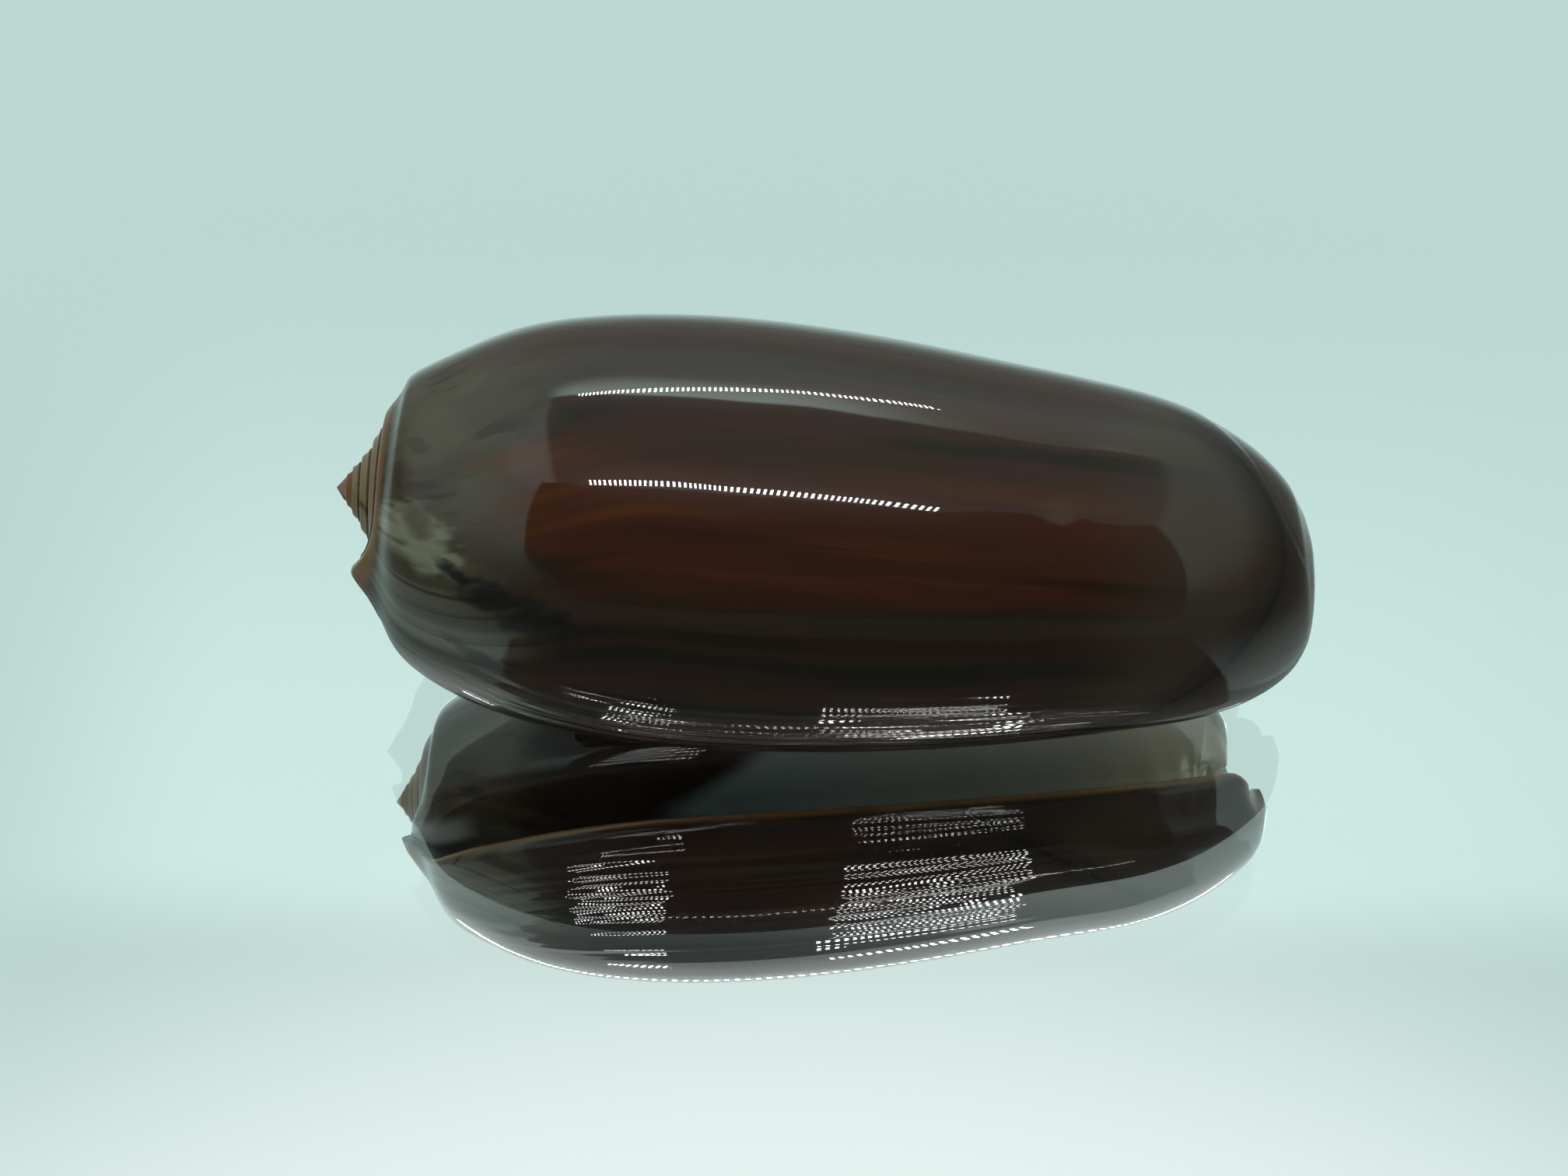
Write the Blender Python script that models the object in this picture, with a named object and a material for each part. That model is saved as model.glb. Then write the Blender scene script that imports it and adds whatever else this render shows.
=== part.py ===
"""An olive shell lying on its belly, its spire towards -X, its siphonal end towards +X, its lip towards -Y.

The shell is one piece that grew along a spiral, so it is modelled as one closed skin. The skin starts at the tip
of the spire, winds outward whorl by whorl, and runs once more round the coiling axis to the outer lip. There it
rounds the lip's edge, follows the inside of the wall back into the body chamber, turns, and comes out again along
the columella, where it meets the start of the last whorl.
"""

import math

import bmesh
import bpy
import numpy as np

MM = 0.001

# Driving dimensions in millimetres, degrees and turns. In every pair of numbers the first is the distance from
# the tip of the spire along the coiling axis and the second is the distance out from that axis. A turn is counted
# back from the outer lip, so 0 is the lip and -1 is one full whorl before it.
LIP_ANGLE = 224.0  # where the lip stands, turned about +X from +Y
LIP_LEAN = 17.5  # how far the shoulder end of the lip lags behind the rest
LIP_ROUNDING = 14.0  # how far the siphonal end of the lip draws back, which rounds its corner
LIP_SHORTENING = 1.5  # how much shorter the lip is at its edge than a little way behind it
AXIS_DIP = 6.0  # how far the siphonal end lies below the spire
BELLY_WEAR = 0.30  # depth worn off the belly, on which the shell rests

SUTURE_OUT = 3.66
SUTURE_GROWTH = 1.53  # each suture lies this many times further out than the one a whorl before
SUTURE_ALONG = (0.34, 0.44, 0.57, 0.72, 0.90, 1.12, 1.36, 1.62, 1.90, 2.15, 2.34, 2.62, 2.35)
CALLUS_RISE = 0.95  # the suture climbs by this much at the callus behind the lip
CALLUS_CREEP = 0.40  # and creeps inward by this much
CALLUS_REACH = 0.085

# How far a whorl's bared band stands above the line between its two sutures, as shares of the band's width.
RIM_RISE = 0.20
MIDDLE_RISE = 0.37
EDGE_RISE = 0.50
LAST_MIDDLE_RISE = 0.15
LAST_EDGE_RISE = 0.075
LIP_PROFILE = (
    (3.05, 6.75), (4.50, 7.85), (7.10, 8.92), (11.0, 9.72), (16.5, 10.0), (22.5, 9.70),
    (28.0, 9.05), (33.2, 8.10), (37.1, 7.10), (40.1, 5.75), (42.0, 4.40), (43.0, 3.00),
)
HALF_TURN_PROFILE = (
    (2.95, 5.05), (4.60, 6.05), (7.30, 7.38), (11.2, 8.28), (16.5, 8.62), (22.5, 8.34),
    (28.0, 7.72), (32.5, 7.14), (35.8, 6.42), (38.2, 5.28), (39.6, 4.10), (40.3, 3.00),
)
FULL_TURN_PROFILE = (
    (2.60, 4.62), (4.40, 5.55), (7.30, 6.60), (11.2, 7.40), (16.5, 7.65), (22.5, 7.35),
    (28.0, 6.70), (32.5, 5.85), (35.8, 4.90), (38.2, 3.75), (39.7, 2.65), (40.6, 1.60),
)

WALL = 1.0
LIP_THICKNESS = 1.15
RIM_THICKNESS = 0.55
COLUMELLA_RECESS = 1.7  # how far the columella lies inside the line of the belly
RECESS_REACH = 0.085
SIPHONAL_RECESS_REACH = 0.17
COLUMELLA_ROUNDING = 1.3  # how much shorter the columella is at its inner edge than at the belly
HOLLOW_DEPTH = 0.55  # the hollow inside the ridge at the siphonal end of the columella
HOLLOW_REACH = 0.09
FOLDS = 4
FOLD_HEIGHT = 0.16
FOLDS_START = 12.3
FOLDS_END = 15.0
CHAMBER_REACH = 0.55  # how far the body chamber is hollow behind the lip
COLUMELLA_TAPER = 0.25

WHORLS = 5
STEPS_PER_WHORL = 48
BAND_STATIONS = 4
ROWS_PER_STATION = 2
SIPHONAL_ROWS_PER_STATION = 4
SIPHONAL_STATION = 11
LIP_EDGE_POINTS = 3
CHAMBER_POINTS = 21
CHAMBER_END_POINTS = 2
RIM_RINGS = (0.45, 0.85)
RIM_DOME = 0.8


def smoothstep(value):
    """Rise smoothly from 0 to 1 as the value goes from 0 to 1."""
    value = np.clip(value, 0.0, 1.0)
    return value * value * (3.0 - 2.0 * value)


def spline(knots, places):
    """Follow the natural cubic spline through knots that stand at 0, 1, 2 and so on."""
    knots = np.asarray(knots, float)
    places = np.atleast_1d(np.asarray(places, float))
    count = len(knots)
    system = np.eye(count)
    load = np.zeros_like(knots)
    for row in range(1, count - 1):
        system[row, row - 1:row + 2] = (1.0, 4.0, 1.0)
        load[row] = 6.0 * (knots[row + 1] - 2.0 * knots[row] + knots[row - 1])
    bend = np.linalg.solve(system, load)
    left = np.clip(np.floor(places).astype(int), 0, count - 2)
    share = (places - left).reshape((-1,) + (1,) * (knots.ndim - 1))
    rest = 1.0 - share
    straight = rest * knots[left] + share * knots[left + 1]
    return straight + ((rest ** 3 - rest) * bend[left] + (share ** 3 - share) * bend[left + 1]) / 6.0


def suture(turn):
    """Give the bottom of the suture channel at a turn."""
    along = spline(SUTURE_ALONG, (turn + WHORLS) * 2.0)[0]
    callus = math.exp(-(turn / CALLUS_REACH) ** 2)
    return np.array((along - CALLUS_RISE * callus, SUTURE_OUT * SUTURE_GROWTH ** turn - CALLUS_CREEP * callus))


def stations(turn):
    """Give the points that the outside of a whorl passes through at a turn, from suture to siphonal end."""
    inner = suture(turn)
    outer = suture(turn + 1.0)
    width = outer[1] - inner[1]
    covered = smoothstep((-0.97 - turn) / 0.06)
    rise = width * smoothstep((turn + WHORLS) / 1.5)
    middle_rise = LAST_MIDDLE_RISE + (MIDDLE_RISE - LAST_MIDDLE_RISE) * covered
    edge_rise = LAST_EDGE_RISE + (EDGE_RISE - LAST_EDGE_RISE) * covered
    rim = inner + np.array((-RIM_RISE * rise, 0.16 * width))
    middle = inner + (outer - inner) * 0.50 - np.array((middle_rise * rise, 0.0))
    edge = inner + (outer - inner) * 0.68 - np.array((edge_rise * rise, 0.0))
    band = [inner, rim, middle, edge, outer]
    if turn <= -1.0:
        scale = SUTURE_GROWTH ** (turn + 1.0)
        body = inner + (np.array(FULL_TURN_PROFILE) - suture(-1.0)) * scale
    else:
        at_lip = 2.0 * (turn + 1.0) * (turn + 0.5)
        half_back = -4.0 * turn * (turn + 1.0)
        full_back = 2.0 * turn * (turn + 0.5)
        body = (at_lip * np.array(LIP_PROFILE) + half_back * np.array(HALF_TURN_PROFILE)
                + full_back * np.array(FULL_TURN_PROFILE))
    return np.vstack((band, body))


LAST_STATION = BAND_STATIONS + len(LIP_PROFILE)


def outside(turn, places):
    """Give the outside of a whorl at a turn, with the columella drawn in just past the lip."""
    points = spline(stations(turn), places)
    ending = smoothstep((places - 13.5) / (LAST_STATION - 13.5))
    points[:, 0] -= LIP_SHORTENING * ending * min(max(1.0 + turn / 0.20, 0.0), 1.0) ** 2
    if turn >= -1.0:
        past_lip = turn + 1.0
        depth = COLUMELLA_RECESS * smoothstep((places - BAND_STATIONS) / 3.0)
        depth = depth * (1.0 - 0.45 * smoothstep((places - 12.0) / 4.0))
        reach = RECESS_REACH + (SIPHONAL_RECESS_REACH - RECESS_REACH) * smoothstep((places - 11.0) / 4.0)
        points[:, 1] -= depth * (1.0 - smoothstep(past_lip / reach))
        points[:, 1] += fold_height(places) * (1.0 - smoothstep((past_lip - 0.02) / 0.06))
        hollow = HOLLOW_DEPTH * smoothstep((places - 13.2) / 1.2) * (1.0 - smoothstep((places - 14.6) / 1.3))
        points[:, 1] -= hollow * (1.0 - smoothstep((past_lip - 0.015) / HOLLOW_REACH))
        points[:, 0] -= COLUMELLA_ROUNDING * ending * max(0.0, 1.0 - past_lip / 0.25) ** 2
    return points


def fold_height(places):
    """Give the height of the folds that wind round the siphonal end of the columella."""
    share = np.clip((places - FOLDS_START) / (FOLDS_END - FOLDS_START), 0.0, 1.0)
    return FOLD_HEIGHT * np.sin(math.pi * share) * (0.5 - 0.5 * np.cos(2.0 * math.pi * FOLDS * share))


def wall_inside(turn, places, thickness):
    """Give the inside of the wall, which lies one thickness in from the outside."""
    points = outside(turn, places)
    ahead = outside(turn, np.minimum(places + 0.02, LAST_STATION))
    behind = outside(turn, np.maximum(places - 0.02, 0.0))
    run = ahead - behind
    run /= np.linalg.norm(run, axis=1)[:, None]
    inward = np.column_stack((run[:, 1], -run[:, 0]))
    return points + inward * thickness[:, None]


def lip_angle(places, turn):
    """Give the angle from which turns count, for each place from suture to siphonal end."""
    angle = LIP_ANGLE - LIP_LEAN * (1.0 - smoothstep((places - BAND_STATIONS) / 5.0))
    rounding = smoothstep((places - 13.6) / (LAST_STATION - 13.6)) ** 2
    return angle - LIP_ROUNDING * rounding * smoothstep(1.0 + turn / 0.3)


def place(points, turn, places, angle_turn=None):
    """Turn distances along and out into a point in space."""
    angle = np.radians(lip_angle(places, turn if angle_turn is None else angle_turn) + 360.0 * turn)
    return np.column_stack((points[:, 0], points[:, 1] * np.cos(angle), points[:, 1] * np.sin(angle)))


def chain_share(chain, split):
    """Give how far along a chain each point lies, counting 0 to 1 up to the split and 1 to 2 after it."""
    run = np.concatenate(([0.0], np.cumsum(np.linalg.norm(np.diff(chain, axis=0), axis=1))))
    return np.where(run <= run[split], run / run[split], 1.0 + (run - run[split]) / (run[-1] - run[split]))


def chain_point(chain, share, places):
    """Give the points that lie at the given shares of a chain."""
    return np.column_stack([np.interp(places, share, chain[:, axis]) for axis in range(3)])


def build_skin():
    """Give the vertices and the faces of the whole skin."""
    steps = STEPS_PER_WHORL
    band = BAND_STATIONS
    band_places = np.arange(band + 1, dtype=float)
    body_places = np.concatenate((
        np.linspace(band, SIPHONAL_STATION, (SIPHONAL_STATION - band) * ROWS_PER_STATION + 1)[1:],
        np.linspace(SIPHONAL_STATION, LAST_STATION,
                    (LAST_STATION - SIPHONAL_STATION) * SIPHONAL_ROWS_PER_STATION + 1)[1:],
    ))
    rows = len(body_places)
    first_body = (WHORLS - 1) * steps
    last = WHORLS * steps
    vertices = []
    faces = []

    def add(points):
        start = len(vertices)
        vertices.extend(points)
        return np.arange(start, len(vertices))

    # The whorls, bared between one suture and the next, and the last whorl down to the siphonal end.
    grid = np.full((last + 1, band + 1 + rows), -1)
    for step in range(last + 1):
        turn = step / steps - WHORLS
        shared = step <= first_body
        places = band_places[:-1] if shared else band_places
        grid[step, :len(places)] = add(place(outside(turn, places), turn, places))
        if step >= first_body:
            grid[step, band + 1:] = add(place(outside(turn, body_places), turn, body_places))
    for step in range(first_body + 1):
        grid[step, band] = grid[step + steps, 0]
    for step in range(last):
        end = band + rows if step >= first_body else band
        for row in range(end):
            faces.append((grid[step, row], grid[step + 1, row], grid[step + 1, row + 1], grid[step, row + 1]))

    # The tip of the spire.
    tip = add([(0.0, 0.0, 0.0)])[0]
    ring = list(grid[:steps + 1, 0]) + list(grid[0, band - 1:0:-1])
    for here, there in zip(ring, ring[1:] + ring[:1]):
        faces.append((tip, there, here))

    # The lip's edge, the inside of the wall, the end of the chamber and the columella.
    places = np.concatenate(([float(band)], body_places))
    depth_steps = CHAMBER_REACH * (np.arange(1, CHAMBER_POINTS + 1) / CHAMBER_POINTS) ** 1.15
    grown = smoothstep((places - band) / 2.5)
    ending = np.sqrt(np.clip(1.0 - smoothstep((places - LAST_STATION + 1.6) / 1.6) ** 2, 0.0, 1.0))
    lip_wall = (0.25 + (LIP_THICKNESS - 0.25) * grown) * ending + RIM_THICKNESS * (1.0 - ending)
    columns = []
    returns = []
    for number in range(1, LIP_EDGE_POINTS + 1):
        swing = math.pi * number / (LIP_EDGE_POINTS + 1)
        inset = lip_wall * 0.5 * (1.0 - math.cos(swing))
        reach = np.degrees(lip_wall * 0.5 * math.sin(swing) / outside(0.0, places)[:, 1]) / 360.0
        points = wall_inside(0.0, places, inset)
        columns.append(place(points, reach, places, 0.0))
        returns.append(-0.006 * number)
    for depth in depth_steps:
        inner_wall = lip_wall + (WALL - 0.25) * smoothstep(depth / 0.06) * (1.0 - grown) * ending
        columns.append(place(wall_inside(-depth, places, inner_wall), -depth, places))
        returns.append(min(-depth, returns[LIP_EDGE_POINTS - 1] - 0.004 * (len(returns) - LIP_EDGE_POINTS + 1)))

    start = outside(-1.0, places)
    inner_columns = []
    for number, depth in enumerate(returns):
        wall_depth = max(0.0, -depth)
        wall = wall_inside(-wall_depth, places, lip_wall + (WALL - 0.25) * (1.0 - grown) * ending)
        blend = smoothstep(wall_depth / 0.06) * (1.0 - smoothstep((places - 9.0) / 6.0))
        along = start[:, 0] * (1.0 - blend) + wall[:, 0] * blend
        out = start[:, 1] * (1.0 - COLUMELLA_TAPER * wall_depth / CHAMBER_REACH)
        folds = fold_height(places) * (1.0 - smoothstep(wall_depth / 0.12))
        inner_columns.append(place(np.column_stack((along, out + folds - fold_height(places))), depth, places, -1.0))
    for number in range(1, CHAMBER_END_POINTS + 1):
        swing = math.pi * number / (CHAMBER_END_POINTS + 1)
        middle = 0.5 * (columns[len(returns) - 1] + inner_columns[-1])
        half = 0.5 * (columns[len(returns) - 1] - inner_columns[-1])
        radius = np.linalg.norm(half, axis=1)
        angle = np.radians(lip_angle(places, -1.0) + 360.0 * returns[-1])
        deeper = np.column_stack((np.zeros(len(places)), np.sin(angle), -np.cos(angle))) * radius[:, None]
        columns.append(middle + half * math.cos(swing) + deeper * math.sin(swing))
    columns.extend(inner_columns[::-1])

    loop = np.array([add(column) for column in columns])
    lip_column = grid[last, band:]
    start_column = grid[first_body, band:]
    sheet = np.vstack((lip_column, loop, start_column))
    for column in range(len(sheet) - 1):
        for row in range(rows):
            faces.append((sheet[column, row], sheet[column + 1, row],
                          sheet[column + 1, row + 1], sheet[column, row + 1]))

    # The posterior end of the chamber, closed by rungs between the wall and the columella.
    points = np.array(vertices)
    first_rung = grid[last, band::-1]
    chord = points[first_rung[0]] + np.linspace(0.0, 1.0, band + 1)[:, None] * (
        points[first_rung[-1]] - points[first_rung[0]])
    arch = points[first_rung] - chord
    rung = first_rung
    half_count = len(loop) // 2
    for number in range(half_count - 1):
        near, far = loop[number, 0], loop[len(loop) - 1 - number, 0]
        shares = np.linspace(0.0, 1.0, band + 1)[1:-1, None]
        fade = max(0.0, 1.0 - (number + 1) / 4.0)
        between = points[near] + shares * (points[far] - points[near]) + arch[1:-1] * fade
        following = np.concatenate(([near], add(between), [far]))
        for place_on_rung in range(band):
            faces.append((rung[place_on_rung], following[place_on_rung],
                          following[place_on_rung + 1], rung[place_on_rung + 1]))
        rung = following
    faces.append(tuple(rung) + (loop[half_count, 0], loop[half_count - 1, 0]))

    # The siphonal end, rounded over between the outside and the inside.
    outer_chain = grid[last:first_body - 1:-1, band + rows]
    inner_chain = loop[:, rows]
    outer_split = int(round(CHAMBER_REACH * steps))
    inner_split = LIP_EDGE_POINTS + CHAMBER_POINTS
    outer_share = chain_share(points[outer_chain], outer_split)
    inner_share = chain_share(points[inner_chain], inner_split)
    outer_partner = chain_point(points[inner_chain], inner_share, outer_share)
    inner_partner = chain_point(points[outer_chain], outer_share, inner_share)
    edge = np.concatenate((outer_chain[::-1], inner_chain))
    partner = np.vstack((outer_partner[::-1], inner_partner))
    half = 0.5 * (partner - points[edge])
    height = np.minimum(np.linalg.norm(half, axis=1), RIM_DOME)
    ring = edge
    for share in RIM_RINGS:
        moved = points[edge] + half * share
        moved[:, 0] += height * (1.0 - (1.0 - share) ** 2)
        following = add(moved)
        for here in range(len(edge)):
            there = (here + 1) % len(edge)
            faces.append((ring[here], ring[there], following[there], following[here]))
        ring = following
    outer_chain = ring[:steps + 1][::-1]
    inner_chain = ring[steps + 1:]
    here, there = 0, 0
    while here < len(outer_chain) - 1 or there < len(inner_chain) - 1:
        outer_next = outer_share[here + 1] if here < len(outer_chain) - 1 else math.inf
        inner_next = inner_share[there + 1] if there < len(inner_chain) - 1 else math.inf
        if outer_next <= inner_next:
            faces.append((outer_chain[here], outer_chain[here + 1], inner_chain[there]))
            here += 1
        else:
            faces.append((outer_chain[here], inner_chain[there + 1], inner_chain[there]))
            there += 1
    return np.array(vertices), faces


for leftover in list(bpy.data.objects):
    bpy.data.objects.remove(leftover, do_unlink=True)
for leftover in list(bpy.data.collections):
    bpy.data.collections.remove(leftover)

collection = bpy.data.collections.new("olive_shell")
bpy.context.scene.collection.children.link(collection)

# The shell, dipped towards its siphonal end, set on the ground and worn flat where it touches.
vertices, faces = build_skin()
dip = math.radians(AXIS_DIP)
laid = np.column_stack((
    vertices[:, 0] * math.cos(dip) + vertices[:, 2] * math.sin(dip),
    vertices[:, 1],
    vertices[:, 2] * math.cos(dip) - vertices[:, 0] * math.sin(dip),
))
laid[:, 2] -= laid[:, 2].min() + BELLY_WEAR
laid[:, 2] = np.maximum(laid[:, 2], 0.0)
laid[:, :2] -= 0.5 * (laid[:, :2].max(axis=0) + laid[:, :2].min(axis=0))

mesh = bpy.data.meshes.new("shell")
mesh.from_pydata([tuple(point) for point in laid * MM], [], [tuple(int(v) for v in face) for face in faces])
skin = bmesh.new()
skin.from_mesh(mesh)
bmesh.ops.recalc_face_normals(skin, faces=skin.faces)
bmesh.ops.triangulate(skin, faces=skin.faces, quad_method="SHORT_EDGE")
skin.to_mesh(mesh)
skin.free()
mesh.validate()

shell = bpy.data.objects.new("shell", mesh)
collection.objects.link(shell)
material = bpy.data.materials.new("shell_enamel")
material.use_nodes = True
surface = material.node_tree.nodes["Principled BSDF"]
surface.inputs["Base Color"].default_value = (0.045, 0.018, 0.008, 1.0)
surface.inputs["Roughness"].default_value = 0.12
mesh.materials.append(material)
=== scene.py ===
import math

import bmesh
import bpy
import numpy as np
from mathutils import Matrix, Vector, noise


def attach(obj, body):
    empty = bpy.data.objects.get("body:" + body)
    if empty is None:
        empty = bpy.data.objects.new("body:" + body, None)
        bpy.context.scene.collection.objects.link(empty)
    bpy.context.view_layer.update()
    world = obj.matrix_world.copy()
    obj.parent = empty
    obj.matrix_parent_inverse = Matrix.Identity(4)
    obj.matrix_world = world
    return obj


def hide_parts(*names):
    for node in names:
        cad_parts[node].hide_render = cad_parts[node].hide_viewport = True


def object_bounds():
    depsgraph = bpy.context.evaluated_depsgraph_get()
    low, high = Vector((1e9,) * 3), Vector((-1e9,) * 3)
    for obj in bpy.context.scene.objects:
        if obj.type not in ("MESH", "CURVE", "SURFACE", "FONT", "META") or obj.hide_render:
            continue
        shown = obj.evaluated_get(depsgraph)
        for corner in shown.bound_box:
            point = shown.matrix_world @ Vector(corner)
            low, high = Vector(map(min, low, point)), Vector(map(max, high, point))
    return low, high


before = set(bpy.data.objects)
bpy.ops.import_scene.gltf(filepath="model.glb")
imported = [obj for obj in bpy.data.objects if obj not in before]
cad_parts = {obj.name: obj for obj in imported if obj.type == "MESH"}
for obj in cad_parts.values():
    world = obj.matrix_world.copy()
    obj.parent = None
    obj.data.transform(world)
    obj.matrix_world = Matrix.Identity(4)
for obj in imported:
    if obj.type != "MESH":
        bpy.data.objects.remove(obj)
cad_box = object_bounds()
MM = 0.001

# ---- The shell ---------------------------------------------------------------------------------------------
# The real piece is one aragonite shell, grown along a spiral and enamelled by the animal as it grew. Its
# skin is built here as it grew: it winds from the tip of the spire to the outer lip, rounds the lip's edge,
# follows the wall into the body chamber, turns, and comes out again along the columella.
#
# In a pair of numbers the first is the distance in millimetres along the coiling axis from the tip of the
# spire, and the second the distance out from the axis. A turn of -1 is one whorl before the lip, at 0.
LIP_ANGLE = 224.0  # where the lip stands round the axis, in degrees
LIP_LEAN = 17.5  # how far it leans back towards the spire
LIP_ROUNDING = 14.0  # and curves back towards the siphonal end
LIP_SHORTENING = 1.5
AXIS_DIP = 6.0
BELLY_WEAR = 0.30
SUTURE_OUT = 3.66
SUTURE_GROWTH = 1.53
SUTURE_ALONG = (0.34, 0.44, 0.57, 0.72, 0.90, 1.12, 1.36, 1.62, 1.90, 2.15, 2.34, 2.62, 2.35)
CALLUS_RISE = 0.95
CALLUS_CREEP = 0.40
CALLUS_REACH = 0.085
RIM_RISE = 0.20
MIDDLE_RISE = 0.20
EDGE_RISE = 0.24
LAST_MIDDLE_RISE = 0.15
LAST_EDGE_RISE = 0.075
LIP_PROFILE = (
    (3.05, 6.75), (4.50, 7.85), (7.10, 8.92), (11.0, 9.72), (16.5, 10.0), (22.5, 9.70),
    (28.0, 9.05), (33.2, 8.10), (37.1, 7.10), (40.1, 5.75), (42.0, 4.40), (43.0, 3.00),
)
HALF_TURN_PROFILE = (
    (2.95, 5.05), (4.60, 6.05), (7.30, 7.38), (11.2, 8.28), (16.5, 8.62), (22.5, 8.34),
    (28.0, 7.72), (32.5, 7.14), (35.8, 6.42), (38.2, 5.28), (39.6, 4.10), (40.3, 3.00),
)
FULL_TURN_PROFILE = (
    (2.60, 4.62), (4.40, 5.55), (7.30, 6.60), (11.2, 7.40), (16.5, 7.65), (22.5, 7.35),
    (28.0, 6.70), (32.5, 5.85), (35.8, 4.90), (38.2, 3.75), (39.7, 2.65), (40.6, 1.60),
)
WALL = 1.0
LIP_THICKNESS = 1.15
RIM_THICKNESS = 0.55
COLUMELLA_RECESS = 1.7
RECESS_REACH = 0.085
SIPHONAL_RECESS_REACH = 0.17
COLUMELLA_ROUNDING = 1.3
HOLLOW_DEPTH = 0.55
HOLLOW_REACH = 0.09
FOLDS = 4
FOLD_HEIGHT = 0.16
FOLDS_START = 12.3
FOLDS_END = 15.0
FINE_FOLDS = 17  # the low plaits between the strong folds and the shoulder, which the solid leaves out
FINE_FOLD_HEIGHT = 0.045
FINE_FOLDS_START = 5.5
CHAMBER_REACH = 0.55
COLUMELLA_TAPER = 0.25
FASCIOLE_AT_LIP = 45.7  # how far along the band laid down by the siphonal notch would start at the lip
FASCIOLE_FALL = 20.7  # and how much nearer to the spire it starts a whorl earlier
FASCIOLE_STEP = 0.07
WHORLS = 5
STEPS_PER_WHORL = 200
LIP_STEPS = 4  # how much closer the steps stand where the lip's growth ridges need them
LIP_STEPS_FROM = 0.86
BAND_STATIONS = 4
ROWS_PER_STATION = 9
SIPHONAL_ROWS_PER_STATION = 14
SIPHONAL_STATION = 11
BAND_ROWS_PER_STATION = 4
LIP_EDGE_POINTS = 9
CHAMBER_POINTS = 64
CHAMBER_END_POINTS = 9
RIM_RINGS = (0.06, 0.16, 0.29, 0.44, 0.61, 0.80, 0.93)
RIM_DOME = 0.8
RIM_SMOOTH_FROM = 15.0
RIM_SMOOTH_STEPS = 160
WAVE_DEPTH = 0.011  # the enamel's low waves, a hundredth of a millimetre deep, which break up its reflections
WAVE_LENGTH = 2.4
GROWTH_STEP_DEPTH = 0.006
GROWTH_STEP_LENGTH = 0.9
RIDGE_DEPTH = 0.055  # the growth ridges beside the outer lip, a few hundredths of a millimetre high
RIDGE_LENGTH = 0.62
RIDGES_START = -0.135
END_SWELL = 0.42  # how much fuller the siphonal end is than the solid's, between these places along +X
SWELL_FROM = 9.5
SWELL_TO = 20.9
GIRTH = 54.0  # the way round the last whorl, which turns growth into millimetres
LAST_STATION = BAND_STATIONS + len(LIP_PROFILE)


def smoothstep(value):
    """Rise smoothly from 0 to 1 as the value goes from 0 to 1."""
    value = np.clip(value, 0.0, 1.0)
    return value * value * (3.0 - 2.0 * value)


def spline(knots, places):
    """Follow the natural cubic spline through knots that stand at 0, 1, 2 and so on."""
    knots = np.asarray(knots, float)
    places = np.atleast_1d(np.asarray(places, float))
    count = len(knots)
    system = np.eye(count)
    load = np.zeros_like(knots)
    for row in range(1, count - 1):
        system[row, row - 1:row + 2] = (1.0, 4.0, 1.0)
        load[row] = 6.0 * (knots[row + 1] - 2.0 * knots[row] + knots[row - 1])
    bend = np.linalg.solve(system, load)
    left = np.clip(np.floor(places).astype(int), 0, count - 2)
    share = (places - left).reshape((-1,) + (1,) * (knots.ndim - 1))
    rest = 1.0 - share
    straight = rest * knots[left] + share * knots[left + 1]
    return straight + ((rest ** 3 - rest) * bend[left] + (share ** 3 - share) * bend[left + 1]) / 6.0


def suture(turn):
    """Give the bottom of the suture channel at a turn."""
    along = spline(SUTURE_ALONG, (turn + WHORLS) * 2.0)[0]
    callus = math.exp(-(turn / CALLUS_REACH) ** 2)
    out = SUTURE_OUT * SUTURE_GROWTH ** turn
    return np.array((along - CALLUS_RISE * callus, out - CALLUS_CREEP * callus))


def stations(turn):
    """Give the points that the outside of a whorl passes through at a turn, from suture to siphonal end."""
    inner = suture(turn)
    outer = suture(turn + 1.0)
    width = outer[1] - inner[1]
    covered = smoothstep((-0.97 - turn) / 0.06)
    rise = width * smoothstep((turn + WHORLS) / 1.5)
    middle_rise = LAST_MIDDLE_RISE + (MIDDLE_RISE - LAST_MIDDLE_RISE) * covered
    edge_rise = LAST_EDGE_RISE + (EDGE_RISE - LAST_EDGE_RISE) * covered
    rim = inner + np.array((-RIM_RISE * rise, 0.16 * width))
    middle = inner + (outer - inner) * 0.50 - np.array((middle_rise * rise, 0.0))
    edge = inner + (outer - inner) * 0.68 - np.array((edge_rise * rise, 0.0))
    band = [inner, rim, middle, edge, outer]
    if turn <= -1.0:
        scale = SUTURE_GROWTH ** (turn + 1.0)
        body = inner + (np.array(FULL_TURN_PROFILE) - suture(-1.0)) * scale
    else:
        at_lip = 2.0 * (turn + 1.0) * (turn + 0.5)
        half_back = -4.0 * turn * (turn + 1.0)
        full_back = 2.0 * turn * (turn + 0.5)
        body = (at_lip * np.array(LIP_PROFILE) + half_back * np.array(HALF_TURN_PROFILE)
                + full_back * np.array(FULL_TURN_PROFILE))
    return np.vstack((band, body))


def fold_height(places):
    """Give the height of the folds that wind round the columella, strong ones at its siphonal end."""
    share = np.clip((places - FOLDS_START) / (FOLDS_END - FOLDS_START), 0.0, 1.0)
    strong = FOLD_HEIGHT * np.sin(math.pi * share) * (0.5 - 0.5 * np.cos(2.0 * math.pi * FOLDS * share))
    share = np.clip((places - FINE_FOLDS_START) / (FOLDS_START - FINE_FOLDS_START), 0.0, 1.0)
    ridges = 0.5 - 0.5 * np.cos(2.0 * math.pi * FINE_FOLDS * share)
    return strong + FINE_FOLD_HEIGHT * smoothstep(share * 4.0) * smoothstep((1.0 - share) * 8.0) * ridges


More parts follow.
